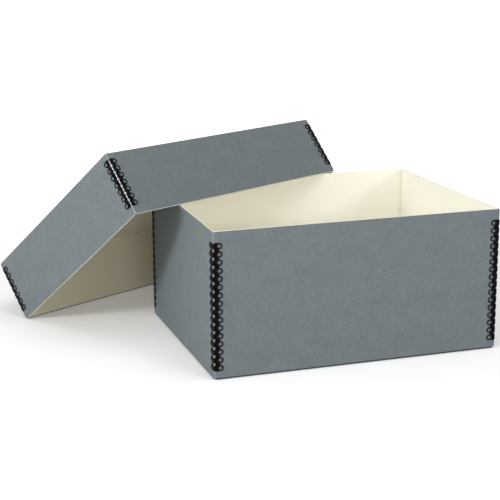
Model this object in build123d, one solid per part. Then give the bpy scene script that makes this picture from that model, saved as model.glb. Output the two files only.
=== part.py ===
"""Archival storage box with a lift-off lid, both folded from laminated board and joined at their
corners by black enamelled metal stays. Millimetres. +X runs along the front, +Y to the back, +Z up,
with the origin at the middle of the base's underside, on the surface that the box stands on.
The lid is off: its near rim lies across the base's left and rear rims, and its far rim is on the
surface."""

import math
import os

from build123d import *

# Board: a cream core with a grey facing laminated to its outside, folded along four lines
board_thickness = 1.5
facing_thickness = 0.25
facing_rim_setback = 0.3
fold_radius = 2.0
corner_notch = 0.6

# Base, outside sizes
base_length = 298.0
base_width = 231.0
base_height = 145.0
base_foot_corner_radius = 4.0
base_rim_corner_radius = 1.5

# Lid, which slips over the base with a gap all round
lid_clearance = 1.4
lid_depth = 70.0
lid_top_corner_radius = 2.0
lid_rim_corner_radius = 3.0

# Stays: metal strips folded along their middle, with a row of eyelets beside each edge
stay_sheet = 0.35
stay_bend_radius = 0.8
stay_waist = 6.6
stay_pitch = 7.94
stay_end_trim = 0.8
fold_hole_radius = 1.65
eyelet_from_fold = 7.1
eyelet_scallop_radius = 3.0
eyelet_bead_radius = 2.6
eyelet_bead_height = 0.4
eyelet_hole_radius = 1.35
eyelet_collar_wall = 0.3
eyelet_bite = 1.0
base_stay_pitches = 16
base_stay_foot_gap = 7.8
lid_stay_pitches = 7
lid_stay_top_gap = 6.3

# Where the lid leans: its near rim crosses the base's left wall this far from the rear corner
lean_from_rear = 111.0
lean_overhang = 57.2
lean_yaw = 28.4
lean_gap = 0.3

lid_growth = 2 * (board_thickness + lid_clearance)
lid_length = base_length + lid_growth
lid_width = base_width + lid_growth


def layer_outline(span, height, depth):
    """The outside of the board as a cross-section, moved in by depth: two walls that rise from a
    folded panel. All depths share one centre at each fold."""
    outline = Pos(0, depth + height / 2) * Rectangle(span - 2 * depth, height)
    return fillet(outline.vertices().sort_by(Axis.Y)[:2], fold_radius - depth)


def folded_sides(span, height, thickness):
    """The cross-section of two opposite walls, each with its quarter-round fold at the foot."""
    over_the_rim = Pos(0, height * 1.5) * Rectangle(2 * span, height)
    between_folds = Pos(0, height / 2) * Rectangle(span - 2 * fold_radius, height)
    board = layer_outline(span, height, 0) - layer_outline(span, height, thickness)
    return board - over_the_rim - between_folds


def wall_outline(width, height, fold_corner, rim_corner):
    """A wall seen square on, stopping short of the outer corner at both ends."""
    outline = Pos(0, height / 2) * Rectangle(width - 2 * corner_notch, height)
    outline = fillet(outline.vertices().sort_by(Axis.Y)[:2], fold_corner)
    return fillet(outline.vertices().sort_by(Axis.Y)[-2:], rim_corner)


def folded_walls(length, width, height, thickness, corner_radii):
    """The long walls and the end walls of a folded blank that stands on its panel, from their
    outsides to a thickness under them."""
    long_walls = extrude(Plane.YZ * folded_sides(width, height, thickness), length, both=True)
    long_walls &= extrude(Plane.XZ * wall_outline(length, height, *corner_radii), width, both=True)
    end_walls = extrude(Plane.XZ * folded_sides(length, height, thickness), width, both=True)
    end_walls &= extrude(Plane.YZ * wall_outline(width, height, *corner_radii), length, both=True)
    return long_walls, end_walls


def slab(length, width, thickness):
    """A flat sheet that lies on Z = 0 about the Z axis."""
    return Box(length, width, thickness, align=(Align.CENTER, Align.CENTER, Align.MIN))


def parted_at_folds(walls):
    """The solids of two folded walls: their quarter-round folds, then the flat walls on them."""
    outside = walls.bounding_box().size
    foot = slab(2 * outside.X, 2 * outside.Y, fold_radius)
    return [*(walls & foot).solids(), *(walls - foot).solids()]


def laminated_blank(length, width, height, corner_radii):
    """A folded blank's board, as a flat panel with four folds and four walls, and the five sheets
    of its facing, each list with the panel on the ground last. The end walls give way to the long
    walls at the inner corners, and the facing stops just short of the rim."""
    long_whole, end_whole = folded_walls(length, width, height, board_thickness, corner_radii)
    long_skin, end_skin = folded_walls(length, width, height, facing_thickness, corner_radii)
    long_core = long_whole - long_skin
    end_core = end_whole - end_skin - long_whole
    flat = (length - 2 * fold_radius, width - 2 * fold_radius)
    panel = Pos(0, 0, facing_thickness) * slab(*flat, board_thickness - facing_thickness)
    board = [*parted_at_folds(long_core), *parted_at_folds(end_core), panel.solid()]

    below_rim = slab(2 * length, 2 * width, height - facing_rim_setback)
    faced = (long_skin & below_rim).solids() + ((end_skin & below_rim) - long_whole).solids()
    return board, [*faced, slab(*flat, facing_thickness).solid()]


def corner_square(low, high, radius):
    """A square that reaches from low to high both ways, with its lowest corner rounded."""
    square = Pos(low, low) * Rectangle(high - low, high - low, align=(Align.MIN, Align.MIN))
    diagonal = Axis((0, 0, 0), (1, 1, 0))
    return fillet(square.vertices().sort_by(diagonal)[:1], radius)


def eyelet():
    """An eyelet about +Z, for a strip that lies on Z = 0: a rounded bead on top, and a collar that
    is driven into the board below."""
    collar_radius = eyelet_hole_radius + eyelet_collar_wall
    bead_middle = (eyelet_hole_radius + eyelet_bead_radius) / 2
    bead_inner = (eyelet_hole_radius, stay_sheet)
    bead_outer = (eyelet_bead_radius, stay_sheet)
    bead_top = ThreePointArc(bead_outer, (bead_middle, stay_sheet + eyelet_bead_height), bead_inner)
    under = Polyline(
        bead_inner,
        (eyelet_hole_radius, -eyelet_bite),
        (collar_radius, -eyelet_bite),
        (collar_radius, 0),
        (eyelet_bead_radius, 0),
        bead_outer,
    )
    section = make_face([bead_top, under])
    return revolve(Plane.XZ * section, Axis.Z)


def stay(pitches):
    """A stay for the corner where a wall facing -Y meets a wall facing -X. Its fold runs up +Z
    from the origin, and it lies against the outsides of both walls."""
    run = pitches * stay_pitch
    outside = corner_square(-stay_sheet, stay_waist, stay_bend_radius + stay_sheet)
    inside = corner_square(0, 2 * stay_waist, stay_bend_radius)
    strip = Pos(0, 0, stay_end_trim) * extrude(outside - inside, run - 2 * stay_end_trim)

    front = Plane(origin=(0, 0, 0), x_dir=(1, 0, 0), z_dir=(0, -1, 0)).location
    swap_sides = Plane(origin=(0, 0, 0), z_dir=(1, -1, 0))
    scallop = Cylinder(eyelet_scallop_radius, stay_sheet, align=(Align.CENTER, Align.CENTER, Align.MIN))
    ring = scallop + eyelet()
    drill = Cylinder(eyelet_hole_radius, 4 * (eyelet_bite + stay_sheet))
    places = [Pos(eyelet_from_fold, (i + 0.5) * stay_pitch) for i in range(pitches)]
    rings = [front * place * ring for place in places]
    drills = [front * place * drill for place in places]
    rings += [mirror(piece, about=swap_sides) for piece in rings]
    drills += [mirror(piece, about=swap_sides) for piece in drills]

    # A round hole astride the fold is narrowed to an ellipse, seen along the diagonal
    diagonal = Plane(origin=(0, 0, 0), x_dir=(1, -1, 0), z_dir=(-1, -1, 0))
    punch_outline = Ellipse(fold_hole_radius / math.sqrt(2), fold_hole_radius)
    punch = extrude(diagonal * punch_outline, stay_waist, both=True)
    drills += [Pos(0, 0, i * stay_pitch) * punch for i in range(pitches + 1)]
    return strip + rings - drills


def corner_stays(piece, length, width, foot_gap):
    """Four copies of a stay, one at each upright corner of a blank that stands on the ground."""
    corners = {
        "front_left": (-1, -1, 0),
        "front_right": (1, -1, 90),
        "back_right": (1, 1, 180),
        "back_left": (-1, 1, 270),
    }
    return {
        name: Pos(side * length / 2, depth * width / 2, foot_gap) * Rot(0, 0, turn) * piece
        for name, (side, depth, turn) in corners.items()
    }


def turned_over(piece):
    """A piece of the lid, made standing on its top panel, with its rim on the ground instead."""
    return Pos(0, 0, lid_depth) * mirror(piece, about=Plane.XY)


def leaning_place():
    """Where the lid's own frame lies: the origin at the middle of its rim, +Z towards its top."""
    yaw = math.radians(lean_yaw)
    slant = math.asin((base_height + lean_gap) / (lid_width - board_thickness))
    along = Vector(math.cos(yaw), math.sin(yaw), 0)
    level = Vector(-math.sin(yaw), math.cos(yaw), 0)
    up = Vector(0, 0, 1)
    down_slope = level * math.cos(slant) - up * math.sin(slant)
    outward = up * math.cos(slant) + level * math.sin(slant)
    crossing = Vector(-base_length / 2, base_width / 2 - lean_from_rear, lid_width * math.sin(slant))
    middle = crossing + along * (lid_length / 2 - lean_overhang) + down_slope * (lid_width / 2)
    return Plane(origin=middle, x_dir=along, z_dir=outward).location


def base_pieces():
    """The base's board, its facing and its four stays, where they stand."""
    corner_radii = (base_foot_corner_radius, base_rim_corner_radius)
    board, facing = laminated_blank(base_length, base_width, base_height, corner_radii)
    pieces = {
        "base_board": Compound(board),
        "base_wall_facing": Compound(facing[:-1]),
        "base_underside_facing": facing[-1],
    }
    stays = corner_stays(stay(base_stay_pitches), base_length, base_width, base_stay_foot_gap)
    for corner, piece in stays.items():
        pieces["base_stay_" + corner] = piece
    return pieces


def lid_pieces():
    """The lid's board, its facing and its four stays, with the rim on the ground."""
    corner_radii = (lid_top_corner_radius, lid_rim_corner_radius)
    board, facing = laminated_blank(lid_length, lid_width, lid_depth, corner_radii)
    pieces = {"lid_board": Compound(board), "lid_facing": Compound(facing)}
    stays = corner_stays(stay(lid_stay_pitches), lid_length, lid_width, lid_stay_top_gap)
    for corner, piece in stays.items():
        pieces["lid_stay_" + corner] = piece
    return {name: turned_over(piece) for name, piece in pieces.items()}


model = base_pieces()
place = leaning_place()
for name, piece in lid_pieces().items():
    model[name] = place * piece

os.makedirs("parts", exist_ok=True)
for name, piece in model.items():
    export_step(piece, f"parts/{name}.step")
    print(name, len(piece.solids()), "solid,", round(piece.volume), "cubic mm")
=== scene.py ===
import math

import bmesh
import bpy
import numpy as np
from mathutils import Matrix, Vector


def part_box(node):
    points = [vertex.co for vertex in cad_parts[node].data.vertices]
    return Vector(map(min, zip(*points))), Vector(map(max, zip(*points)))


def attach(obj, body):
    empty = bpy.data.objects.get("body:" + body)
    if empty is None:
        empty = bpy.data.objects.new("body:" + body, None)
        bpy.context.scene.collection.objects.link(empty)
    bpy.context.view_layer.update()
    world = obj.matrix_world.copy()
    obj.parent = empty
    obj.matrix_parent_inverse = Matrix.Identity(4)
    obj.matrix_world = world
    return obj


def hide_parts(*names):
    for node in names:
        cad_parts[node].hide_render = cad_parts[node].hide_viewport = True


# An archival storage box of folded grey-faced board, with black metal stays on its corners.
# The lid is off and leans on the base's left and rear rims. Metres, in the frame of the CAD.
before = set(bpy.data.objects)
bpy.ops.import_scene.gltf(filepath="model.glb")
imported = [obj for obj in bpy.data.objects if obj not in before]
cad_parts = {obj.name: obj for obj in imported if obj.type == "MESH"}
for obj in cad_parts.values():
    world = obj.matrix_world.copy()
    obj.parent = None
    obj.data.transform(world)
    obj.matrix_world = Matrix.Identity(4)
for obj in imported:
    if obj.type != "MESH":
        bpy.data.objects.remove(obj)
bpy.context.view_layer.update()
mm = 0.001


def tell(words):
    print("scene:", words, flush=True)


def addObject(name, data):
    thing = bpy.data.objects.new(name, data)
    bpy.context.scene.collection.objects.link(thing)
    return thing


def setPlace(thing, axes, position):
    # The columns of axes are the thing's own right, up and back
    matrix = np.eye(4)
    matrix[:3, :3] = axes
    matrix[:3, 3] = position
    thing.matrix_world = matrix.T.tolist()


# The camera stands where the photograph was taken from
cameraPlace = {
    "position": (-479.8 * mm, -1231.8 * mm, 422.7 * mm),
    "azimuth": -18.215,
    "elevation": 14.23,
    "roll": -0.29,
    "lens": 93.52,
    "sensor": 36.0,
    "clip": (0.05, 60.0),
}


def axesFromAngles(azimuth, elevation, roll):
    # right is level, back points from the subject to the camera, and up = back x right, before right and up
    # roll about back
    a, e, r = np.radians([azimuth, elevation, roll])
    back = np.array([math.sin(a) * math.cos(e), -math.cos(a) * math.cos(e), math.sin(e)])
    level = np.array([math.cos(a), math.sin(a), 0.0])
    up = np.cross(back, level)
    right = level * math.cos(r) + up * math.sin(r)
    return np.stack([right, np.cross(back, right), back], axis=1)


def makeCamera():
    data = bpy.data.cameras.new("photo_camera")
    data.lens = cameraPlace["lens"]
    data.sensor_width = cameraPlace["sensor"]
    data.clip_start, data.clip_end = cameraPlace["clip"]
    camera = addObject("photo_camera", data)
    axes = axesFromAngles(cameraPlace["azimuth"], cameraPlace["elevation"], cameraPlace["roll"])
    setPlace(camera, axes, cameraPlace["position"])
    bpy.context.scene.camera = camera


makeCamera()
tell("camera set")


# Helpers for shader nodes

def addNode(tree, kind, sockets=None, **settings):
    # A socket's value is set, or linked where it is another node's output
    node = tree.nodes.new(kind)
    for key, value in settings.items():
        setattr(node, key, value)
    for key, value in (sockets or {}).items():
        if isinstance(value, bpy.types.NodeSocket):
            tree.links.new(value, node.inputs[key])
        else:
            node.inputs[key].default_value = value
    return node


def newGroup(name, inputs, outputs):
    tree = bpy.data.node_groups.new(name, "ShaderNodeTree")
    for label, (kind, value) in inputs.items():
        socket = tree.interface.new_socket(label, in_out="INPUT", socket_type=kind)
        if value is not None:
            socket.default_value = value
    for label, kind in outputs.items():
        tree.interface.new_socket(label, in_out="OUTPUT", socket_type=kind)
    return tree, tree.nodes.new("NodeGroupInput").outputs, tree.nodes.new("NodeGroupOutput").inputs


def useGroup(tree, group, sockets):
    return addNode(tree, "ShaderNodeGroup", sockets, node_tree=group).outputs


def maths(tree, operation, first, second=0.0, third=0.0, clamp=False):
    sockets = {0: first, 1: second, 2: third}
    return addNode(tree, "ShaderNodeMath", sockets, operation=operation, use_clamp=clamp).outputs[0]


def noise(tree, place, scale, detail, roughness=0.5):
    return addNode(tree, "ShaderNodeTexNoise", {
        "Vector": place, "Scale": scale, "Detail": detail, "Roughness": roughness}).outputs[0]


def bump(tree, strength, distance, height):
    return addNode(tree, "ShaderNodeBump", {
        "Strength": strength, "Distance": distance, "Height": height}).outputs[0]


def blendColours(tree, factor, first, second):
    sockets = {0: factor, 6: first, 7: second}
    return addNode(tree, "ShaderNodeMix", sockets, data_type="RGBA").outputs[2]


def scaleColour(tree, colour, amount):
    return addNode(tree, "ShaderNodeVectorMath", {0: colour, 1: amount}, operation="MULTIPLY").outputs[0]


def readAttribute(tree, name, output="Fac"):
    return addNode(tree, "ShaderNodeAttribute", None, attribute_name=name).outputs[output]


def newMaterial(name):
    material = bpy.data.materials.new(name)
    material.use_nodes = True
    material.node_tree.nodes.clear()
    return material, material.node_tree


def finishMaterial(tree, shader):
    addNode(tree, "ShaderNodeOutputMaterial", {"Surface": shader.outputs[0]})


# Shared effects, each a group that puts out masks and heights
# A contrast is what a noise is multiplied by, then what is added to it
pulp = {
    "directions": (((1.0, 0.22, 1.0), 0.5), ((0.22, 1.0, 1.0), -0.35), ((0.6, 0.6, 1.0), 0.0)),
    "fibreDetail": 3.0,
    "fibreRoughness": 0.6,
    "fibreContrast": (1.2, -1.3),
    "cloudDetail": 4.0,
    "cloudRoughness": 0.62,
}
lineBreaks = {
    "detail": 3.0,
    "contrast": (3.0, -1.2),
}


def makeFibreGroup():
    # Paper fibre: fine short fibres at two angles, and soft clouds where the pulp lies thicker
    tree, given, result = newGroup(
        "paperFibre",
        {
            "Vector": ("NodeSocketVector", None),
            "Fibre Scale": ("NodeSocketFloat", 900.0),
            "Cloud Scale": ("NodeSocketFloat", 60.0),
        },
        {"Fibre": "NodeSocketFloat", "Cloud": "NodeSocketFloat"},
    )
    layers = []
    for stretch, turn in pulp["directions"]:
        turned = addNode(tree, "ShaderNodeMapping", {
            "Vector": given["Vector"], "Rotation": (0.0, 0.0, turn), "Scale": stretch}).outputs[0]
        layers.append(noise(tree, turned, given["Fibre Scale"], pulp["fibreDetail"], pulp["fibreRoughness"]))
    total = maths(tree, "ADD", maths(tree, "ADD", layers[0], layers[1]), layers[2])
    fibre = maths(tree, "MULTIPLY_ADD", total, *pulp["fibreContrast"], clamp=True)
    cloud = noise(tree, given["Vector"], given["Cloud Scale"], pulp["cloudDetail"], pulp["cloudRoughness"])
    tree.links.new(fibre, result["Fibre"])
    tree.links.new(cloud, result["Cloud"])
    return tree


def makeNearGroup():
    # How near a line a point lies: 1 on it, 0 from Width away, broken up by noise where Breakup is above 0
    tree, given, result = newGroup(
        "nearLine",
        {
            "Distance": ("NodeSocketFloat", 1.0),
            "Width": ("NodeSocketFloat", 0.001),
            "Vector": ("NodeSocketVector", None),
            "Breakup": ("NodeSocketFloat", 0.5),
            "Scale": ("NodeSocketFloat", 400.0),
        },
        {"Mask": "NodeSocketFloat"},
    )
    share = maths(tree, "DIVIDE", given["Distance"], given["Width"])
    near = maths(tree, "SUBTRACT", 1.0, share, clamp=True)
    patches = noise(tree, given["Vector"], given["Scale"], lineBreaks["detail"])
    patches = maths(tree, "MULTIPLY_ADD", patches, *lineBreaks["contrast"], clamp=True)
    kept = maths(tree, "SUBTRACT", 1.0, given["Breakup"])
    broken = maths(tree, "MULTIPLY_ADD", patches, given["Breakup"], kept)
    tree.links.new(maths(tree, "MULTIPLY", near, broken), result["Mask"])
    return tree


fibreGroup = makeFibreGroup()
nearGroup = makeNearGroup()


def paperFibre(tree, sheet, look):
    return useGroup(tree, fibreGroup, {
        "Vector": sheet, "Fibre Scale": look["fibreScale"], "Cloud Scale": look["cloudScale"]})


def paperBump(tree, fibre, look):
    height = maths(tree, "MULTIPLY_ADD", fibre["Cloud"], look["cloudHeight"], fibre["Fibre"])
    return bump(tree, look["bumpStrength"], look["bump"], height)


def nearMask(tree, attribute, place, line):
    # How strongly a line shows, from the distance that an attribute holds
    mask = useGroup(tree, nearGroup, {
        "Distance": readAttribute(tree, attribute), "Width": line["width"], "Vector": place,
        "Breakup": line["breakup"], "Scale": line["scale"]})["Mask"]
    return maths(tree, "MULTIPLY", mask, line["strength"], clamp=True)


def behindStay(tree):
    return maths(tree, "GREATER_THAN", readAttribute(tree, "covered"), 0.0)


facingLook = {
    "colour": (0.135, 0.162, 0.170, 1.0),
    "light": (0.173, 0.199, 0.209, 1.0),
    "dark": (0.111, 0.131, 0.139, 1.0),
    "worn": (0.40, 0.42, 0.41, 1.0),
    # Tones of the pressed edge behind the stays, with painted light: the lid's paler one paints the
    # highlight on its fold
    "basePressed": (0.33, 0.36, 0.37, 1.0),
    "lidPressed": (0.60, 0.62, 0.63, 1.0),
    "contactShadowColour": (0.012, 0.014, 0.016, 1.0),
    "roughness": 0.78,
    "roughnessSpread": 0.12,
    "specular": 0.3,
    "fibreScale": 650.0,
    "fibreStrength": 0.85,
    "cloudScale": 55.0,
    "cloudContrast": (0.30, 0.85),
    "cloudHeight": 1.5,
    "foldWear": {"width": 1.3 * mm, "breakup": 0.8, "scale": 500.0, "strength": 0.22},
    "edgeWear": {"width": 0.25 * mm, "breakup": 0.7, "scale": 700.0, "strength": 0.35},
    "pressedAndLitEdge": {"width": 1.6 * mm, "breakup": 0.2, "scale": 500.0, "strength": 3.0},
    "bump": 0.05 * mm,
    "bumpStrength": 0.6,
}


def makeFacing(body):
    look = facingLook
    material, tree = newMaterial("facingPaper_" + body)
    sheet = readAttribute(tree, "sheet", "Vector")
    fibre = paperFibre(tree, sheet, look)
    shade = blendColours(tree, fibre["Fibre"], look["dark"], look["light"])
    colour = blendColours(tree, look["fibreStrength"], look["colour"], shade)
    colour = scaleColour(tree, colour, maths(tree, "MULTIPLY_ADD", fibre["Cloud"], *look["cloudContrast"]))
    colour = blendColours(tree, nearMask(tree, "fold", sheet, look["foldWear"]), colour, look["worn"])
    colour = blendColours(tree, nearMask(tree, "edge", sheet, look["edgeWear"]), colour, look["worn"])
    # Behind a stay the sheet's edge is pressed pale, which shows in the holes along the stay's fold. Its
    # tone
    # there also paints the light on each fold: the lid's paler tone is painted highlight
    pressedAndLitEdge = maths(tree, "MULTIPLY", nearMask(tree, "end", sheet, look["pressedAndLitEdge"]), behindStay(tree))
    colour = blendColours(tree, pressedAndLitEdge, colour, look[body + "Pressed"])
    # Painted contact shadow along the foot, and along the lid's rim that rests on the floor
    colour = blendColours(tree, readAttribute(tree, "contactShade"), colour, look["contactShadowColour"])
    spread = look["roughnessSpread"]
    rough = maths(tree, "MULTIPLY_ADD", fibre["Fibre"], spread, look["roughness"] - spread / 2)
    finishMaterial(tree, addNode(tree, "ShaderNodeBsdfPrincipled", {
        "Base Color": colour, "Roughness": rough, "Normal": paperBump(tree, fibre, look),
        "Specular IOR Level": look["specular"]}))
    return material


coreLook = {
    "base": (0.96, 0.94, 0.835, 1.0),
    # The lid's core is the same board as the base's, darker and warmer to paint the shade inside the lid
    "lid": (0.915, 0.86, 0.69, 1.0),
    "deep": (0.87, 0.82, 0.655, 1.0),
    # A cut edge is greyish, and darker still as painted shade on the rims, most on the lid's, whose cut
    # edges face down
    "baseCut": (0.40, 0.395, 0.35, 1.0),
    "lidCut": (0.34, 0.325, 0.27, 1.0),
    "end": (0.62, 0.67, 0.69, 1.0),
    # Tones of the end behind the stays, with painted light: the lid's paler one paints the highlight on its
    # fold
    "baseEndBehind": (0.36, 0.38, 0.385, 1.0),
    "lidEndBehind": (0.60, 0.63, 0.64, 1.0),
    "contactShadowColour": (0.07, 0.065, 0.05, 1.0),
    "roughness": 0.82,
    "specular": 0.25,
    "fibreScale": 420.0,
    "fibreStrength": 0.14,
    "cloudScale": 30.0,
    "cloudContrast": (0.06, 0.97),
    "cloudHeight": 1.2,
    # Painted shade in the crease along each fold
    "creaseShade": {"width": 1.1 * mm, "breakup": 0.25, "scale": 300.0, "strength": 0.5},
    "plyCount": 4.0,
    "plyContrast": (-0.25, 0.75),
    "cutWidth": 0.02 * mm,
    "cutStrength": 0.85,
    "endWidth": 0.15 * mm,
    "bump": 0.04 * mm,
    "bumpStrength": 0.5,
}


def makeCore(body, thickness):
    look = coreLook
    material, tree = newMaterial("creamBoard_" + body)
    sheet = readAttribute(tree, "sheet", "Vector")
    fibre = paperFibre(tree, sheet, look)
    share = maths(tree, "MULTIPLY", fibre["Fibre"], look["fibreStrength"])
    # On the lid this tone carries painted shade for the lid's inside
    colour = blendColours(tree, share, look[body], look["deep"])
    colour = scaleColour(tree, colour, maths(tree, "MULTIPLY_ADD", fibre["Cloud"], *look["cloudContrast"]))
    # Painted shade in the crease along each fold
    colour = blendColours(tree, nearMask(tree, "fold", sheet, look["creaseShade"]), colour, look["deep"])
    # The plies of the board show as faint lines on its cut edges, where depth runs across the face
    depth = addNode(tree, "ShaderNodeSeparateXYZ", {0: sheet}).outputs[2]
    phase = maths(tree, "MULTIPLY", depth, look["plyCount"] * 2 * math.pi / thickness)
    ply = maths(tree, "MULTIPLY_ADD", maths(tree, "COSINE", phase), *look["plyContrast"])
    atEdge = maths(tree, "LESS_THAN", readAttribute(tree, "edge"), look["cutWidth"])
    cut = maths(tree, "MULTIPLY", maths(tree, "MULTIPLY", ply, atEdge), look["cutStrength"])
    # Cut-edge colour: partly the board's greyish cut, partly painted shade on the rims
    colour = blendColours(tree, cut, colour, look[body + "Cut"])
    atEnd = maths(tree, "LESS_THAN", readAttribute(tree, "end"), look["endWidth"])
    # Behind a stay the end takes a tone that paints the light on that fold, on the lid a painted highlight
    endColour = blendColours(tree, behindStay(tree), look["end"], look[body + "EndBehind"])
    colour = blendColours(tree, atEnd, colour, endColour)
    # Painted contact shadow along the foot, and along the lid's rim that rests on the floor
    colour = blendColours(tree, readAttribute(tree, "contactShade"), colour, look["contactShadowColour"])
    finishMaterial(tree, addNode(tree, "ShaderNodeBsdfPrincipled", {
        "Base Color": colour, "Roughness": look["roughness"], "Normal": paperBump(tree, fibre, look),
        "Specular IOR Level": look["specular"]}))
    return material


enamelLook = {
    "colour": (0.0015, 0.0015, 0.0017, 1.0),
    "dull": (0.004, 0.004, 0.004, 1.0),
    "steel": (0.30, 0.27, 0.23, 1.0),
    # Painted highlight along the fold of the lid's stays
    "highlightColour": (0.54, 0.56, 0.59, 1.0),
    "roughness": 0.12,
    "dullRoughness": 0.30,
    "specular": 0.035,
    "patchScale": 260.0,
    "patchDetail": 4.0,
    "patchRoughness": 0.65,
    "patchContrast": (3.0, -1.1),
    "wear": {"width": 0.35 * mm, "breakup": 1.0, "scale": 900.0, "strength": 0.42},
    "wearBare": 0.9,
    "highlightMask": {"width": 0.42 * mm, "breakup": 0.35, "scale": 700.0, "strength": 1.1},
    "peelScale": 1500.0,
    "peelDetail": 2.0,
    "peel": 0.02 * mm,
    "peelStrength": 0.5,
}


def makeEnamel():
    look = enamelLook
    material, tree = newMaterial("blackEnamel")
    place = addNode(tree, "ShaderNodeTexCoord").outputs["Object"]
    patches = noise(tree, place, look["patchScale"], look["patchDetail"], look["patchRoughness"])
    patches = maths(tree, "MULTIPLY_ADD", patches, *look["patchContrast"], clamp=True)
    colour = blendColours(tree, patches, look["colour"], look["dull"])
    wear = nearMask(tree, "crest", place, look["wear"])
    colour = blendColours(tree, wear, colour, look["steel"])
    # A bright metal line along the fold of the lid's stays, a painted highlight on the fold
    highlightMask = nearMask(tree, "highlightMask", place, look["highlightMask"])
    colour = blendColours(tree, highlightMask, colour, look["highlightColour"])
    bareAndHighlight = maths(tree, "MAXIMUM", maths(tree, "MULTIPLY", wear, look["wearBare"]), highlightMask)
    spread = look["dullRoughness"] - look["roughness"]
    rough = maths(tree, "MULTIPLY_ADD", patches, spread, look["roughness"])
    peel = noise(tree, place, look["peelScale"], look["peelDetail"])
    finishMaterial(tree, addNode(tree, "ShaderNodeBsdfPrincipled", {
        "Base Color": colour, "Roughness": rough, "Metallic": bareAndHighlight,
        "Normal": bump(tree, look["peelStrength"], look["peel"], peel),
        "Specular IOR Level": look["specular"]}))
    return material


seatLook = {
    "facing": (0.25, 0.285, 0.295, 1.0),
    "pulp": (0.60, 0.61, 0.58, 1.0),
    "roughness": 0.85,
    "tearScale": 700.0,
    "tearDetail": 4.0,
    "tearRoughness": 0.7,
    "tearContrast": (3.5, -1.5),
    "bump": 0.08 * mm,
    "bumpStrength": 0.8,
}


def makeSeat():
    # The board inside an eyelet, where the facing is stretched and torn so that its pale pulp shows
    look = seatLook
    material, tree = newMaterial("pressedBoard")
    place = addNode(tree, "ShaderNodeTexCoord").outputs["Object"]
    tear = noise(tree, place, look["tearScale"], look["tearDetail"], look["tearRoughness"])
    mask = maths(tree, "MULTIPLY_ADD", tear, *look["tearContrast"], clamp=True)
    finishMaterial(tree, addNode(tree, "ShaderNodeBsdfPrincipled", {
        "Base Color": blendColours(tree, mask, look["facing"], look["pulp"]), "Roughness": look["roughness"],
        "Normal": bump(tree, look["bumpStrength"], look["bump"], tear)}))
    return material


# Board: sizes are those of the CAD
board = {
    "thickness": 1.5 * mm,
    "facing": 0.25 * mm,
    "facingGap": 0.004 * mm,
    "facingSetback": 0.3 * mm,
    "foldRadius": 2.0 * mm,
    "cornerNotch": 0.6 * mm,
    "wallGap": 0.02 * mm,
    "stayPlay": 0.9 * mm,
    "edgeRound": 0.12 * mm,
    "roundShare": 0.4,
    "leastRound": 0.15,
    "bowPower": 1.3,
    "footMargin": 1.0 * mm,
    "leastRow": 0.05 * mm,
    "rimRoll": (30.0, 60.0, 90.0),
    "rows": {"fold": 10, "foot": 5, "wall": 12, "rim": 7, "panel": 13},
    "samplesAlong": 33,
    "sharpAngle": 38.0,
}
baseBox = {
    "footCorner": 4.0 * mm,
    "rimCorner": 1.5 * mm,
    "longBow": -0.5 * mm,
    "endBow": -1.9 * mm,
    # Painted contact shadow at the foot, up to shadeFootTop and fading over shadeFade
    "shadeFootTop": 2.0 * mm,
    "shadeRimDepth": -1.0 * mm,
    "shadeFade": 0.7 * mm,
}
lidBox = {
    "clearance": 1.4 * mm,
    "depth": 70.0 * mm,
    "footCorner": 2.0 * mm,
    "rimCorner": 3.0 * mm,
    "longBow": -0.4 * mm,
    "endBow": -0.5 * mm,
    # Painted contact shadow along the rim of the wall that rests on the floor, none at the foot
    "shadeFootTop": -1.0 * mm,
    "shadeRimDepth": 0.9 * mm,
    "shadeFade": 0.7 * mm,
}

# How far the stays run up the corners, in steps from one eyelet to the next, from a gap above the foot.
# With highlightSetback above the painted highlight's width no bright line shows on the fold
stayPitch = 7.94 * mm
stayRuns = {
    "base": {"pitches": 16, "gap": 7.8 * mm, "highlightSetback": 0.65 * mm, "seed": 40},
    "lid": {"pitches": 7, "gap": 6.3 * mm, "highlightSetback": 0.0, "seed": 30},
}

facingMaterials = {"base": makeFacing("base"), "lid": makeFacing("lid")}
coreMaterials = {"base": makeCore("base", board["thickness"]), "lid": makeCore("lid", board["thickness"])}
enamelMaterial = makeEnamel()
seatMaterial = makeSeat()
tell("materials made")


def quarterTurns(turn):
    # Rows of points times this matrix turn about z by a number of quarter turns
    angle = math.radians(90.0 * turn)
    return np.array([
        [math.cos(angle), math.sin(angle), 0.0],
        [-math.sin(angle), math.cos(angle), 0.0],
        [0.0, 0.0, 1.0],
    ])


def cornerLoss(height, radius):
    # How much a rounded corner narrows the sheet at a height above (or below) its edge
    inside = np.clip(radius - height, 0.0, radius)
    return radius - np.sqrt(radius**2 - inside**2)


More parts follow.
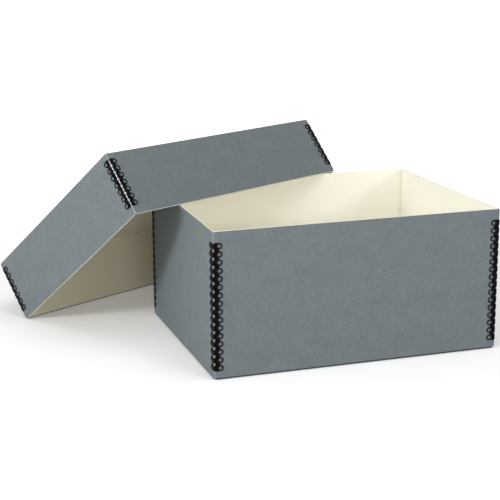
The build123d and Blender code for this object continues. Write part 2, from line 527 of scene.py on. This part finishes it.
def wallRows(span, run, height, box, top, inset):
    # The wall's outside as rows from the panel round the fold and up to the top: outward place, height,
    # the inward direction in that plane, half width, how much the rounded top narrows the sheet, and the
    # distance along the unfolded sheet
    radius, edge, corner = board["foldRadius"], board["edgeRound"], box["rimCorner"]
    rows = board["rows"]
    angle = np.radians(np.linspace(0.0, 90.0, rows["fold"]))
    low = np.linspace(radius, box["footCorner"] + board["footMargin"], rows["foot"])[1:]
    high = height - corner + corner * np.sin(np.radians(np.linspace(0.0, 90.0, rows["rim"])))
    rise = np.concatenate([low, np.linspace(low[-1], high[0], rows["wall"])[1:-1], high])
    rise = np.append(rise[rise < top - edge - board["leastRow"]], top - edge)
    roll = np.radians(board["rimRoll"])
    z = np.concatenate([radius * (1 - np.cos(angle)), rise, top - edge + edge * np.sin(roll)])
    outward = np.full(z.shape, span / 2)
    outward[:angle.size] = span / 2 - radius * (1 - np.sin(angle))
    inward = np.tile([-1.0, 0.0], (z.size, 1))
    inward[:angle.size] = np.stack([-np.sin(angle), np.cos(angle)], axis=1)
    shrink = np.zeros(z.size)
    shrink[-roll.size:] = edge * (1 - np.cos(roll))
    half = run / 2 - inset - cornerLoss(z, box["footCorner"]) - cornerLoss(height - z, corner)
    unfolded = span / 2 - radius + z - radius + radius * math.pi / 2
    unfolded[:angle.size] = span / 2 - radius + radius * angle
    return outward, z, inward, half, shrink, unfolded


def panelRows(span, run):
    # The flat panel as rows across it, with the box's outside downwards
    radius, count = board["foldRadius"], board["rows"]["panel"]
    outward = np.linspace(-1.0, 1.0, count) * (span / 2 - radius)
    inward = np.tile([0.0, 1.0], (count, 1))
    return outward, np.zeros(count), inward, np.full(count, run / 2 - radius), np.zeros(count), outward


def sheetPart(rows, low, high, turn, bow, height):
    # A closed sheet between two depths: at each row a loop runs along its outside, round its cut end, back
    # along its inside and round the other end. A wall bows by bow * (1 - t^2) * (z / height)^bowPower, with
    # t from -1 to 1 along it. Returns the points, the faces and the values that the materials read.
    rows = (part[:, None] if part.ndim == 1 else part for part in rows)
    outward, z, inward, half, shrink, unfolded = rows
    count = board["samplesAlong"]
    edge = np.minimum(board["edgeRound"], board["roundShare"] * (high - low))
    edge = np.maximum(edge - shrink, board["leastRound"] * edge)
    share = np.linspace(-1.0, 1.0, count)
    bevel = math.sqrt(0.5)
    along = np.concatenate([share, [1, 1, 1, 1], share[::-1], [-1, -1, -1, -1]])[None]
    reach = np.concatenate([share * 0, [bevel, 1, 1, bevel], share * 0, [-bevel, -1, -1, -bevel]])[None]
    fromLow = np.concatenate([share * 0, [1 - bevel, 1, 0, 0], share * 0, [0, 0, 1, 1 - bevel]])[None]
    fromHigh = np.concatenate([share * 0, [0, 0, 1, 1 - bevel], share * 0, [1 - bevel, 1, 0, 0]])[None]
    isHigh = np.concatenate([share * 0, [0, 0, 1, 1], share * 0 + 1, [1, 1, 0, 0]])[None]
    t = along * (half - shrink - edge) + reach * edge
    depth = low + shrink + isHigh * (high - low - 2 * shrink) + fromLow * edge - fromHigh * edge
    w = outward + depth * inward[:, :1]
    up = z + depth * inward[:, 1:]
    w = w + bow * (1 - (t / half) ** 2) * np.clip(up / height, 0.0, 1.0) ** board["bowPower"]
    flat = quarterTurns(turn)[:2, :2]
    points = np.stack([t, -w], axis=-1) @ flat
    sheet = np.stack([t, -np.broadcast_to(unfolded, t.shape)], axis=-1) @ flat
    points = np.concatenate([points, up[..., None]], axis=-1).reshape(-1, 3)
    sheet = np.concatenate([sheet, depth[..., None]], axis=-1).reshape(-1, 3)
    rowCount, loop = t.shape
    index = np.arange(rowCount * loop).reshape(rowCount, loop)
    after = np.roll(index, -1, axis=1)
    sides = np.stack([index[:-1], after[:-1], after[1:], index[1:]], axis=-1).reshape(-1, 4)
    # The first and last loops are closed by a strip from outside to inside and a face at each end. A loop
    # counts its outside, four points round the right end, its inside and four points round the left end
    outer = np.arange(count)
    inner = 2 * count + 3 - outer
    strip = np.stack([outer[:-1], outer[1:], inner[1:], inner[:-1]], axis=-1)
    rightEnd = list(range(count - 1, count + 5))
    leftEnd = list(range(2 * count + 3, 2 * count + 8)) + [0]
    last = (rowCount - 1) * loop
    faces = sides.tolist() + (strip + last).tolist() + strip[:, ::-1].tolist()
    faces += [[i + last for i in end] for end in (rightEnd, leftEnd)]
    faces += [end[::-1] for end in (rightEnd, leftEnd)]
    return points, faces, sheet, t, half, up


def foldedLayer(name, size, box, run, low, high, top, material):
    # One layer of a folded blank, from depth low to high: the panel and four walls, as one mesh. Beside the
    # place on the sheet, each point holds its distances from the nearest fold, cut edge and cut end, how
    # far it is inside the stays' length, and how much painted contact shadow it takes
    length, width, height = size
    radius = board["foldRadius"]
    foldMiddle = radius * math.pi / 4
    stayTop = run["gap"] + run["pitches"] * stayPitch
    points, faces, count = [], [], 0
    values = {label: [] for label in ("sheet", "fold", "edge", "end", "covered", "contactShade")}
    for turn in range(5):
        isPanel, isLong = turn == 4, turn % 2 == 0
        span, across = (width, length) if isLong else (length, width)
        if isPanel:
            rows, bow = panelRows(width, length), 0.0
        else:
            reachesCorner = isLong or low < board["facing"]
            inset = board["cornerNotch"] if reachesCorner else board["thickness"] + board["wallGap"]
            rows = wallRows(span, across, height, box, top, inset)
            bow = box["longBow"] if isLong else box["endBow"]
        place, made, sheet, t, half, up = sheetPart(rows, low, high, turn, bow, height)
        rise = place[:, 2]
        if isPanel:
            # Its cut edges and ends count as a metre away
            inside = np.array([length, width]) / 2 - radius - np.abs(sheet[:, :2])
            fold = inside.min(axis=1) + foldMiddle
            edge, end, contactShade = np.ones(len(place)), np.ones(len(place)), np.zeros(len(place))
        else:
            unfolded = np.broadcast_to(rows[5][:, None], t.shape)
            fold = np.abs(unfolded - (span / 2 - radius) - foldMiddle).ravel()
            end = (half - np.abs(t)).ravel()
            edge = np.minimum(end, (top - up).ravel())
            # Painted contact shadow, darker towards the foot
            contactShade = (box["shadeFootTop"] - rise) / box["shadeFade"]
        # On the lid, painted contact shadow along the rim of the wall that rests on the floor
        if turn == 0:
            contactShade = np.maximum(contactShade, (rise - height + box["shadeRimDepth"]) / box["shadeFade"])
        points.append(place)
        faces += [[i + count for i in face] for face in made]
        values["sheet"].append(sheet)
        values["fold"].append(fold)
        values["edge"].append(np.clip(edge, 0.0, 1.0))
        values["end"].append(np.clip(end, 0.0, 1.0))
        values["covered"].append(np.minimum(rise - run["gap"], stayTop - rise) - board["stayPlay"])
        values["contactShade"].append(np.clip(contactShade, 0.0, 1.0))
        count += len(place)
    values = {label: np.concatenate(parts) for label, parts in values.items()}
    return newPiece(name, np.concatenate(points), faces, values, material, board["sharpAngle"])


def newPiece(name, points, faces, values, material, sharpAngle):
    # A mesh object from arrays: a value is a vector or a number for each point
    mesh = bpy.data.meshes.new(name)
    mesh.from_pydata(points.tolist(), [], faces)
    for label, numbers in values.items():
        isVector = numbers.ndim == 2
        attribute = mesh.attributes.new(label, "FLOAT_VECTOR" if isVector else "FLOAT", "POINT")
        attribute.data.foreach_set("vector" if isVector else "value", numbers.astype(np.float32).ravel())
    mesh.shade_smooth()
    mesh.set_sharp_from_angle(angle=math.radians(sharpAngle))
    mesh.materials.append(material)
    return addObject(name, mesh)


def moveMesh(piece, matrix, origin):
    # Turns and moves the mesh itself, so that the object stays at the frame's origin
    mesh = piece.data
    points = np.zeros(len(mesh.vertices) * 3, np.float32)
    mesh.vertices.foreach_get("co", points)
    placed = points.reshape(-1, 3) @ np.asarray(matrix).T + origin
    mesh.vertices.foreach_set("co", placed.astype(np.float32).ravel())
    mesh.update()


# Where the lid leans: its near rim crosses the base's left rim fromRear away from the rear corner and
# overhang away from the lid's own left end. The yaw is in degrees, and the gap lies over the base's rims
lean = {
    "fromRear": 111.0 * mm,
    "overhang": 57.2 * mm,
    "yaw": 28.4,
    "gap": 0.3 * mm,
}
lowCorner, highCorner = (np.array(corner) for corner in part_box("base_board"))
baseSize = np.array([highCorner[0] - lowCorner[0], highCorner[1] - lowCorner[1], highCorner[2]])
growth = 2 * (board["thickness"] + lidBox["clearance"])
lidSize = np.array([baseSize[0] + growth, baseSize[1] + growth, lidBox["depth"]])


def leaningPlace():
    # The lid's blank stands on its panel, so its own z runs from its top to its rim
    yaw = math.radians(lean["yaw"])
    slant = math.asin((baseSize[2] + lean["gap"]) / (lidSize[1] - board["thickness"]))
    along = np.array([math.cos(yaw), math.sin(yaw), 0.0])
    level = np.array([-math.sin(yaw), math.cos(yaw), 0.0])
    up = np.array([0.0, 0.0, 1.0])
    downSlope = level * math.cos(slant) - up * math.sin(slant)
    outward = up * math.cos(slant) + level * math.sin(slant)
    rimHeight = lidSize[1] * math.sin(slant)
    crossing = np.array([-baseSize[0] / 2, baseSize[1] / 2 - lean["fromRear"], rimHeight])
    middle = crossing + along * (lidSize[0] / 2 - lean["overhang"]) + downSlope * (lidSize[1] / 2)
    matrix = np.stack([along, -downSlope, -outward], axis=1)
    return matrix, middle + outward * lidSize[2]


standing = (np.eye(3), np.zeros(3))
leaning = leaningPlace()


def makeFoldedBoard(body, size, box, place, coreNodes, facingNodes):
    facing, run = board["facing"], stayRuns[body]
    core = foldedLayer(body + "_core_sheet", size, box, run, facing, board["thickness"], size[2],
                       coreMaterials[body])
    skin = foldedLayer(body + "_facing_paper", size, box, run, 0.0, facing - board["facingGap"],
                       size[2] - board["facingSetback"], facingMaterials[body])
    for piece, slot, replaced in ((core, "board_core", coreNodes), (skin, "board_facing", facingNodes)):
        moveMesh(piece, *place)
        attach(piece, body)
        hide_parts(*replaced)


makeFoldedBoard("base", baseSize, baseBox, standing, ["base_board"],
                ["base_wall_facing", "base_underside_facing"])
makeFoldedBoard("lid", lidSize, lidBox, leaning, ["lid_board"], ["lid_facing"])
tell("folded boards made")


# Stays: a metal strip folded along a corner, with a row of eyelets beside each edge
stay = {
    "sheet": 0.35 * mm,
    "lift": 0.02 * mm,
    "bend": 0.8 * mm,
    "waist": 6.0 * mm,
    "endTrim": 0.8 * mm,
    "foldHole": (1.3 * mm, 1.65 * mm),
    "foldHolePoints": 4,
    "ringPlace": 6.45 * mm,
    "ringEdge": 3.1 * mm,
    "scallopPoints": 5,
    "notchIn": 0.28 * mm,
    "notchShare": 0.3,
    "beadFoot": 2.85 * mm,
    "beadTop": 2.25 * mm,
    "beadHeight": 0.42 * mm,
    "hole": 1.7 * mm,
    "holeRound": 0.06 * mm,
    "holeRoundShare": 0.6,
    "bite": 0.35 * mm,
    "flatRows": (0.8, 0.9, 1.0),
    "crests": (2.0 * mm, 0.3 * mm, 0.0, 0.6 * mm, 1.0 * mm, 0.6 * mm, 0.15 * mm),
    "looseness": (1.0, 1.0, 1.0, 0.7, 0.0, 0.0, 0.0),
    "unevenness": 0.07 * mm,
    "swell": 0.12,
    "sharpAngle": 50.0,
}
corners = {"front_left": (-1, -1), "front_right": (1, -1), "back_right": (1, 1), "back_left": (-1, 1)}
weldDistance = 0.002 * mm


def cellOutline(limit):
    # Half of the outline round one eyelet, from its outermost point to the fold: the scalloped edge, the
    # notch to the next eyelet, the line that both share, a quarter of the fold hole, and the fold itself
    holeAcross, holeUp = stay["foldHole"]
    centre, edge, waist, half = stay["ringPlace"], stay["ringEdge"], stay["waist"], stayPitch / 2
    angle = np.radians(np.linspace(0.0, 90.0, stay["scallopPoints"]))
    scallop = np.stack([centre + edge * np.cos(angle), edge * np.sin(angle)], axis=1)
    holeSide = holeAcross * math.sqrt(1 - ((half - limit) / holeUp) ** 2)
    notch = [[centre - stay["notchIn"], edge + stay["notchShare"] * (limit - edge)], [waist, limit]]
    shared = [[(waist + holeSide) / 2, limit], [holeSide, limit]]
    turn = np.linspace(math.asin((half - limit) / holeUp), math.pi / 2, stay["foldHolePoints"])[1:]
    hole = np.stack([holeAcross * np.cos(turn), half - holeUp * np.sin(turn)], axis=1)
    fold = [[0.0, hole[-1, 1] / 2], [0.0, 0.0]]
    return np.concatenate([scallop, notch, shared, hole, fold])


def stayGrid(pitches, seed):
    # Rows round each eyelet, from the foot of its hole over the bead and out to the outline. Returns the
    # distance from the fold, the height along it, the lift off the board and the distance from a crest,
    # each as [eyelet, row, point round it]
    half, trim = stayPitch / 2, stay["endTrim"]
    outlines = []
    for i in range(pitches):
        below = cellOutline(half - trim if i == 0 else half)
        above = cellOutline(half - trim if i == pitches - 1 else half)
        outlines.append(np.concatenate([above, below[-2:0:-1] * [1, -1]]))
    outline = np.array(outlines)
    away = outline - [stay["ringPlace"], 0.0]
    far = np.hypot(away[..., 0], away[..., 1])[:, None]
    direction = away[:, None] / far[..., None]
    sheet, bead, foot = stay["sheet"] + stay["lift"], stay["beadHeight"], stay["beadFoot"]
    inner = np.array([stay["hole"], stay["hole"] + stay["holeRound"], stay["beadTop"], foot])
    lifts = np.array([-stay["bite"], sheet + stay["holeRoundShare"] * bead, sheet + bead, sheet])
    shares = np.array(stay["flatRows"])[None, :, None]
    rings = np.broadcast_to(inner[None, :, None], (pitches, inner.size, outline.shape[1]))
    reach = np.concatenate([rings, foot + shares * (far - foot)], axis=1)
    random = np.random.default_rng(seed)
    shift = random.normal(0.0, 1.0, (pitches, 1, 1, 2)) * stay["unevenness"]
    fade = np.array(stay["looseness"])[None, :, None, None]
    flat = reach[..., None] * direction + shift * fade + [stay["ringPlace"], 0.0]
    swell = 1 + stay["swell"] * random.normal(0.0, 1.0, (pitches, 1, 1))
    lift = np.concatenate([lifts, np.full(shares.size, sheet)])[None, :, None] * np.ones_like(reach)
    lift[:, 1:3] = sheet + (lift[:, 1:3] - sheet) * swell
    crest = np.array(stay["crests"])[None, :, None] * np.ones_like(reach)
    height = flat[..., 1] + (np.arange(pitches)[:, None, None] + 0.5) * stayPitch
    return np.maximum(flat[..., 0], 0.0), height, lift, crest


def foldOver(across, height, lift):
    # Lays the strip's one half on the wall that faces -y: beyond the bend it is flat, and within it the
    # strip turns through 45 degrees about an axis inside the corner
    bend = stay["bend"]
    angle = np.radians(45.0) * (1 - np.clip(across / bend, 0.0, 1.0))
    x = np.maximum(across, bend) - (bend + lift) * np.sin(angle)
    y = bend - (bend + lift) * np.cos(angle)
    return np.stack([x, y, height], axis=-1)


def ringQuads(shape):
    # The faces between the rows of each ring, for points counted as [ring, row, point round it]
    index = np.arange(math.prod(shape)).reshape(shape)
    after = np.roll(index, -1, axis=2)
    return np.stack([index[:, :-1], index[:, 1:], after[:, 1:], after[:, :-1]], axis=-1).reshape(-1, 4)


def atCorner(points, turn, size):
    # Moves points from the corner of a wall that faces -y and a wall that faces -x to any of the four
    side, depth = list(corners.values())[turn]
    return points.reshape(-1, 3) @ quarterTurns(turn) + [side * size[0] / 2, depth * size[1] / 2, 0.0]


def weld(piece):
    work = bmesh.new()
    work.from_mesh(piece.data)
    bmesh.ops.remove_doubles(work, verts=work.verts, dist=weldDistance)
    work.to_mesh(piece.data)
    work.free()


def makeStay(body, size, turn, place):
    run = stayRuns[body]
    points, crests, highlightDistances, faces, count = [], [], [], [], 0
    for side in (0, 1):
        across, height, lift, crest = stayGrid(run["pitches"], 100 * turn + run["seed"] + side)
        laid = foldOver(across, height, lift)
        quads = ringQuads(crest.shape) + count
        points.append((laid[..., [1, 0, 2]] if side else laid).reshape(-1, 3))
        faces.append(quads[:, ::-1] if side else quads)
        crests.append(crest.ravel())
        # Distance from the fold for the painted highlight line
        highlightDistances.append(across.ravel() + run["highlightSetback"])
        count += crest.size
    points = atCorner(np.concatenate(points) + [0.0, 0.0, run["gap"]], turn, size)
    values = {"crest": np.concatenate(crests), "highlightMask": np.concatenate(highlightDistances)}
    node = f"{body}_stay_{list(corners)[turn]}"
    piece = newPiece(node + "_strip", points, np.concatenate(faces).tolist(), values, enamelMaterial,
                     stay["sharpAngle"])
    weld(piece)
    solid = piece.modifiers.new("sheet", "SOLIDIFY")
    solid.thickness = stay["sheet"]
    solid.offset = -1.0
    moveMesh(piece, *place)
    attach(piece, body)
    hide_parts(node)


# Seats: the board that shows inside the eyelets
seat = {
    "radius": 1.68 * mm,
    "rows": (0.0001, 0.55, 1.0),
    "crown": -0.15 * mm,
    "sink": 0.30 * mm,
    "sides": 10,
    "sharpAngle": 60.0,
}


def makeSeats(body, size, place):
    # A low dome of board in each eyelet: lift = crown - (crown + sink) * r^2, with r from 0 to 1
    run = stayRuns[body]
    r = np.array(seat["rows"])[:, None]
    angle = np.arange(seat["sides"]) * 2 * math.pi / seat["sides"]
    across = r * np.cos(angle) * seat["radius"] + stay["ringPlace"]
    rise = r * np.sin(angle) * seat["radius"]
    lift = np.broadcast_to(seat["crown"] - (seat["crown"] + seat["sink"]) * r**2, across.shape)
    heights = (np.arange(run["pitches"])[:, None, None] + 0.5) * stayPitch + run["gap"]
    grid = np.stack(np.broadcast_arrays(across[None], -lift[None], rise[None] + heights), axis=-1)
    quads = ringQuads(grid.shape[:3])
    points, faces, count = [], [], 0
    for turn in range(len(corners)):
        for swapped in (False, True):
            points.append(atCorner(grid[..., [1, 0, 2]] if swapped else grid, turn, size))
            faces.append((quads[:, ::-1] if swapped else quads) + count)
            count += grid[..., 0].size
    piece = newPiece(body + "_eyelet_seats", np.concatenate(points), np.concatenate(faces).tolist(), {},
                     seatMaterial, seat["sharpAngle"])
    weld(piece)
    moveMesh(piece, *place)
    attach(piece, body)


for body, size, place in (("base", baseSize, standing), ("lid", lidSize, leaning)):
    for turn in range(len(corners)):
        makeStay(body, size, turn, place)
    makeSeats(body, size, place)
    tell(body + " stays made")


# Studio: a pale floor, a white surround and soft lamps
studio = {
    "floorSize": 14.0,
    "floorDrop": 0.3 * mm,
    "floorColour": (0.88, 0.88, 0.88, 1.0),
    "floorSeen": (0.93, 0.93, 0.93, 1.0),
    "nearGlow": 0.12,
    "farGlow": 0.80,
    "glowReach": (0.35, 0.95),
    "sky": 0.47,
    "skyColour": (1.0, 1.0, 1.0, 1.0),
    "target": (-0.06, 0.02, 0.08),
}
lamps = {
    "key": {"at": (-0.99, -0.76, 0.96), "size": (1.10, 0.08), "watts": 3.8, "along": (0.805, -0.294, 0.515)},
    "left": {"at": (-1.70, -0.86, 0.80), "size": (0.35, 0.35), "watts": 3.4},
    "end": {"at": (-2.10, -0.45, 0.62), "size": (0.35, 0.35), "watts": 16.5},
    "front": {"at": (-0.35, -2.25, 0.66), "size": (0.6, 0.3), "watts": 4.8},
    "right": {"at": (0.95, -2.05, 0.66), "size": (0.6, 0.3), "watts": 10.4},
    "above": {"at": (0.4, -0.7, 2.3), "size": (1.6, 1.6), "watts": 15.0},
}


def makeFloor():
    half, z = studio["floorSize"] / 2, -studio["floorDrop"]
    mesh = bpy.data.meshes.new("studio_floor")
    square = [(-half, -half, z), (half, -half, z), (half, half, z), (-half, half, z)]
    mesh.from_pydata(square, [], [(0, 1, 2, 3)])
    floor = addObject("studio_floor", mesh)
    material, tree = newMaterial("paleFloor")
    path = addNode(tree, "ShaderNodeLightPath").outputs
    seen = maths(tree, "ADD", path["Is Camera Ray"], path["Is Glossy Ray"], clamp=True)
    shade = addNode(tree, "ShaderNodeBsdfDiffuse", {
        "Color": blendColours(tree, seen, studio["floorColour"], studio["floorSeen"])})
    # The glow grows with the distance from the object, so that the floor ends in the white surround
    place = addNode(tree, "ShaderNodeTexCoord").outputs["Object"]
    away = addNode(tree, "ShaderNodeVectorMath", {0: place}, operation="LENGTH").outputs["Value"]
    first, last = studio["glowReach"]
    reach = {"Value": away, "From Min": first, "From Max": last,
             "To Min": studio["nearGlow"], "To Max": studio["farGlow"]}
    glow = addNode(tree, "ShaderNodeMapRange", reach, interpolation_type="SMOOTHSTEP").outputs[0]
    light = addNode(tree, "ShaderNodeEmission", {"Strength": maths(tree, "MULTIPLY", seen, glow)})
    finishMaterial(tree, addNode(tree, "ShaderNodeAddShader", {0: shade.outputs[0], 1: light.outputs[0]}))
    mesh.materials.append(material)


def makeSurround():
    # White where it is seen, and dimmer where it lights
    world = bpy.data.worlds.new("white_surround")
    world.use_nodes = True
    tree = world.node_tree
    tree.nodes.clear()
    path = addNode(tree, "ShaderNodeLightPath").outputs
    seen = maths(tree, "ADD", path["Is Camera Ray"], path["Is Glossy Ray"])
    seen = maths(tree, "ADD", seen, path["Is Transmission Ray"], clamp=True)
    strength = maths(tree, "MULTIPLY_ADD", seen, 1.0 - studio["sky"], studio["sky"])
    light = addNode(tree, "ShaderNodeBackground", {"Color": studio["skyColour"], "Strength": strength})
    addNode(tree, "ShaderNodeOutputWorld", {"Surface": light.outputs[0]})
    bpy.context.scene.world = world


def makeLamps():
    # Each lamp faces the middle of the object, with its first side level where nothing else is given
    target = np.array(studio["target"])
    for name, lamp in lamps.items():
        data = bpy.data.lights.new("lamp_" + name, "AREA")
        data.shape = "RECTANGLE"
        data.size, data.size_y = lamp["size"]
        data.energy = lamp["watts"]
        back = np.array(lamp["at"]) - target
        back /= np.linalg.norm(back)
        side = np.array(lamp.get("along", np.cross([0.0, 0.0, 1.0], back)))
        side -= back * (side @ back)
        side /= np.linalg.norm(side)
        axes = np.stack([side, np.cross(back, side), back], axis=1)
        setPlace(addObject("lamp_" + name, data), axes, lamp["at"])


makeFloor()
makeSurround()
makeLamps()
bpy.context.scene.view_settings.view_transform = "Standard"
tell("studio made")

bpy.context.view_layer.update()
tell("sizes written")
